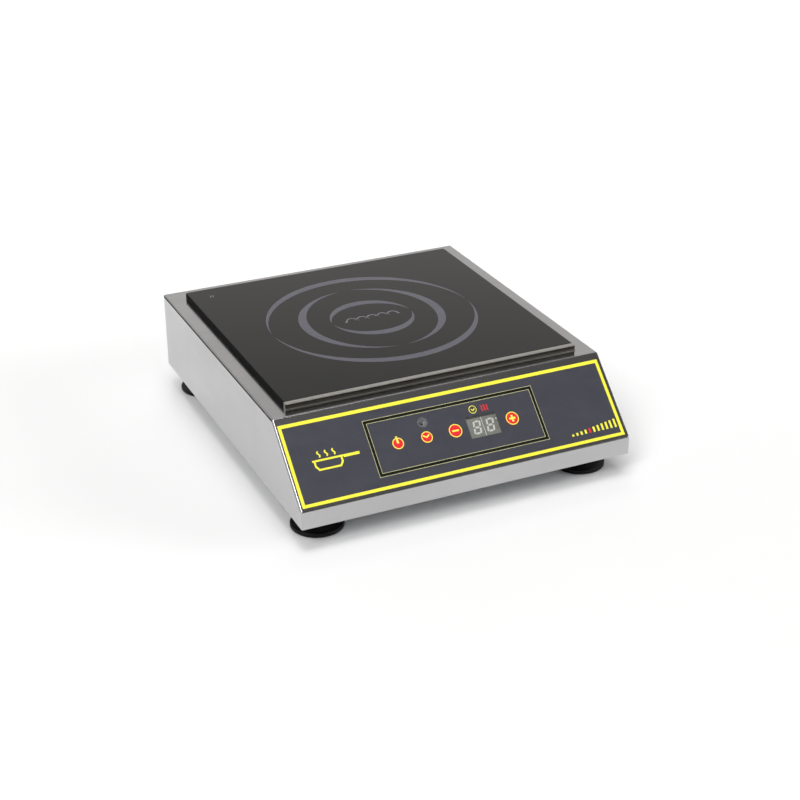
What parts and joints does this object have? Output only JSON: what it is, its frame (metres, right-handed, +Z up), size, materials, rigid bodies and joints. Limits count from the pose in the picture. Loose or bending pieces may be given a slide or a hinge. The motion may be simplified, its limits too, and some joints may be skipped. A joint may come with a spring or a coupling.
{
  "type": "induction hob",
  "caption": "Counter-top induction hob: folded steel case, black glass top with ring marks, sloped key panel with a display, and disc feet.",
  "frame": {"origin": "middle of the bounding box, on the surface that the feet stand on", "axes": "+Z up out of the glass, +Y to the rear where the cable gland is, -Y out of the sloped control panel, +X to the user's right"},
  "size_m": [0.325, 0.39, 0.105],
  "materials": {
    "stainless": "fine brushed stainless sheet",
    "galvanised": "galvanised sheet",
    "zinc": "bright zinc-plated steel",
    "black_glass": "polished black ceramic glass with a grey printed ring pattern",
    "silicone": "satin black silicone",
    "trim_steel": "satin polished steel",
    "overlay_film": "fine-textured printed polyester film, blue-grey with a yellow border",
    "key_plastic": "printed red key face with a yellow ring",
    "display_lens": "clear grey-green window",
    "display_body": "grey-green display block",
    "segments": "unlit milky segments",
    "bezel_grey": "satin grey plastic",
    "lamp_lens": "smoked lamp",
    "black_plastic": "moulded black plastic",
    "gland_nylon": "moulded black nylon",
    "foot_plastic": "moulded black plastic",
    "fan_plastic": "moulded black plastic",
    "white_plastic": "heat-resistant moulded plastic",
    "circuit_board": "green solder resist",
    "copper": "enamelled stranded copper",
    "ferrite": "sintered dark grey ferrite",
    "mica": "pressed mica sheet",
    "aluminium": "plain aluminium",
    "spring_steel": "spring wire",
    "capacitor_case": "yellow-brown potted case",
    "transformer": "taped winding on a dark core",
    "fuse_metal": "plated clips and fuse caps",
    "brass": "plain brass",
    "lead_sleeve": "insulated leads",
    "coil_sleeve": "woven glass sleeving",
    "ribbon_grey": "flat grey cable"
  },
  "bodies": {
    "case": {"housing": "stainless", "rear_panel": "stainless", "base_plate": "galvanised", "case_screws": "zinc", "glass_plate": "black_glass", "glass_seal": "silicone", "front_trim": "trim_steel", "control_overlay": "overlay_film", "display_window": "display_lens", "display_module": "display_body", "display_segments": "segments", "led_bezel": "bezel_grey", "led_lens": "lamp_lens", "key_switches": "black_plastic", "control_board": "circuit_board", "board_standoffs": "zinc", "control_chips": "black_plastic", "foot_nuts": "zinc", "cable_gland": "gland_nylon", "gland_nut": "gland_nylon", "gland_locknut": "gland_nylon", "coil_winding": "copper", "coil_former": "white_plastic", "ferrite_bars": "ferrite", "insulation_sheet": "mica", "coil_support": "aluminium", "probe_holder": "white_plastic", "probe_spring": "spring_steel", "fan_frame": "black_plastic", "fan_motor": "black_plastic", "air_duct": "white_plastic", "power_board": "circuit_board", "heat_sink": "aluminium", "power_semiconductors": "black_plastic", "capacitors": "capacitor_case", "choke_core": "ferrite", "choke_windings": "copper", "aux_transformer": "transformer", "board_connectors": "white_plastic", "fuse": "fuse_metal", "terminal_block": "white_plastic", "earth_stud": "brass", "mains_leads": "lead_sleeve", "coil_leads": "coil_sleeve", "ribbon_cable": "ribbon_grey", "fan_lead": "lead_sleeve"},
    "key_power": {"key_power": "key_plastic"},
    "key_timer": {"key_timer": "key_plastic"},
    "key_minus": {"key_minus": "key_plastic"},
    "key_plus": {"key_plus": "key_plastic"},
    "fan_rotor": {"fan_impeller": "fan_plastic"},
    "probe": {"probe_cap": "aluminium"},
    "foot_front_left": {"foot_pad_front_left": "foot_plastic", "foot_stem_front_left": "zinc"},
    "foot_front_right": {"foot_pad_front_right": "foot_plastic", "foot_stem_front_right": "zinc"},
    "foot_rear_left": {"foot_pad_rear_left": "foot_plastic", "foot_stem_rear_left": "zinc"},
    "foot_rear_right": {"foot_pad_rear_right": "foot_plastic", "foot_stem_rear_right": "zinc"}
  },
  "joints": [
    {"name": "key_power_press", "type": "slide", "parent": "case", "child": "key_power", "axis": [0, 0.6866, -0.727], "range_m": [0, 0.0005], "stiffness_N_per_m": 3000},
    {"name": "key_timer_press", "type": "slide", "parent": "case", "child": "key_timer", "axis": [0, 0.6866, -0.727], "range_m": [0, 0.0005], "stiffness_N_per_m": 3000},
    {"name": "key_minus_press", "type": "slide", "parent": "case", "child": "key_minus", "axis": [0, 0.6866, -0.727], "range_m": [0, 0.0005], "stiffness_N_per_m": 3000},
    {"name": "key_plus_press", "type": "slide", "parent": "case", "child": "key_plus", "axis": [0, 0.6866, -0.727], "range_m": [0, 0.0005], "stiffness_N_per_m": 3000},
    {"name": "fan_spin", "type": "hinge", "parent": "case", "child": "fan_rotor", "pos_m": [-0.08, 0.037, 0.036], "axis": [0, 0, 1], "continuous": true},
    {"name": "probe_press", "type": "slide", "parent": "case", "child": "probe", "axis": [0, 0, -1], "range_m": [0, 0.003], "stiffness_N_per_m": 300, "springref_m": -0.004, "deforming": ["probe_spring"]},
    {"name": "foot_front_left_level", "type": "slide", "parent": "case", "child": "foot_front_left", "axis": [0, 0, -1], "range_m": [0, 0.008]},
    {"name": "foot_front_right_level", "type": "slide", "parent": "case", "child": "foot_front_right", "axis": [0, 0, -1], "range_m": [0, 0.008]},
    {"name": "foot_rear_left_level", "type": "slide", "parent": "case", "child": "foot_rear_left", "axis": [0, 0, -1], "range_m": [0, 0.008]},
    {"name": "foot_rear_right_level", "type": "slide", "parent": "case", "child": "foot_rear_right", "axis": [0, 0, -1], "range_m": [0, 0.008]}
  ]
}
